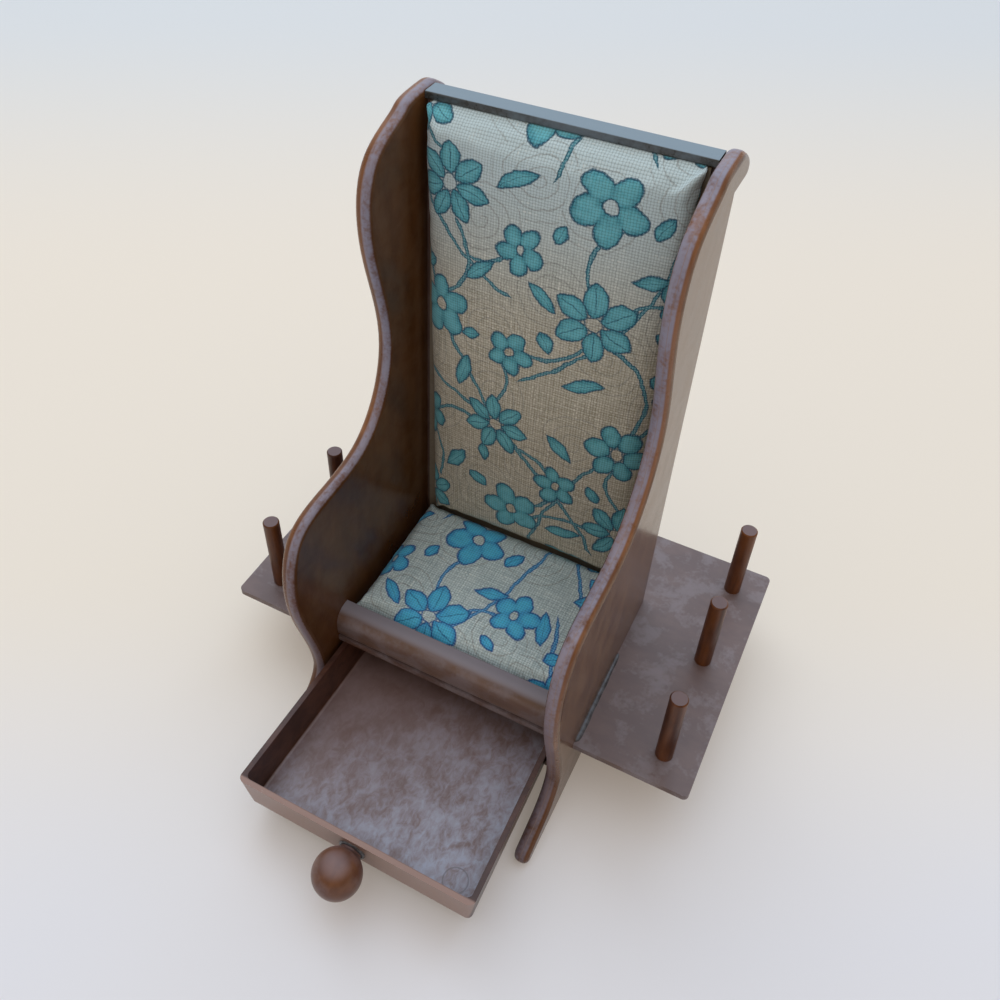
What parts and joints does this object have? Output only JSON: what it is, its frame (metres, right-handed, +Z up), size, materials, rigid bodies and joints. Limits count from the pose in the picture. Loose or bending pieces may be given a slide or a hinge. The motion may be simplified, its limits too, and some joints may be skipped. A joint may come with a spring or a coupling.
{
  "type": "sewing caddy",
  "caption": "Small armchair-shaped sewing caddy with upright pegs for cotton reels on side shelves, padded seat and back for pins, and a sliding drawer under the seat.",
  "frame": {"origin": "on the floor, midway between the feet's toes and between the side panels", "axes": "+Z up, +Y towards the back, +X towards the right seen from the front"},
  "size_m": [0.152, 0.1518, 0.1755],
  "materials": {
    "brown_plastic": "glossy dark brown, faintly mottled",
    "amber_plastic": "satin orange-brown",
    "tray_plastic": "satin grey-brown, mottled",
    "printed_cloth": "plain-weave cloth with a turquoise flower print",
    "card": "matt card",
    "set_glue": "glossy set glue"
  },
  "bodies": {
    "chair": {"back_board": "brown_plastic", "back_card": "card", "back_pad": "printed_cloth", "bay_back": "brown_plastic", "bay_floor": "brown_plastic", "crest_rail": "brown_plastic", "joint_bead": "set_glue", "seat_card": "card", "seat_pad": "printed_cloth", "seat_rail": "brown_plastic", "shelf_board": "brown_plastic", "side_panel_left": "brown_plastic", "side_panel_right": "brown_plastic", "spool_peg_left_back": "amber_plastic", "spool_peg_left_front": "amber_plastic", "spool_peg_left_middle": "amber_plastic", "spool_peg_right_back": "amber_plastic", "spool_peg_right_front": "amber_plastic", "spool_peg_right_middle": "amber_plastic"},
    "drawer": {"drawer_tray": "tray_plastic", "drawer_knob": "amber_plastic", "knob_collar": "set_glue"}
  },
  "joints": [
    {"name": "drawer_slide", "type": "slide", "parent": "chair", "child": "drawer", "axis": [0, -1, 0], "range_m": [-0.0514, 0.01]}
  ]
}
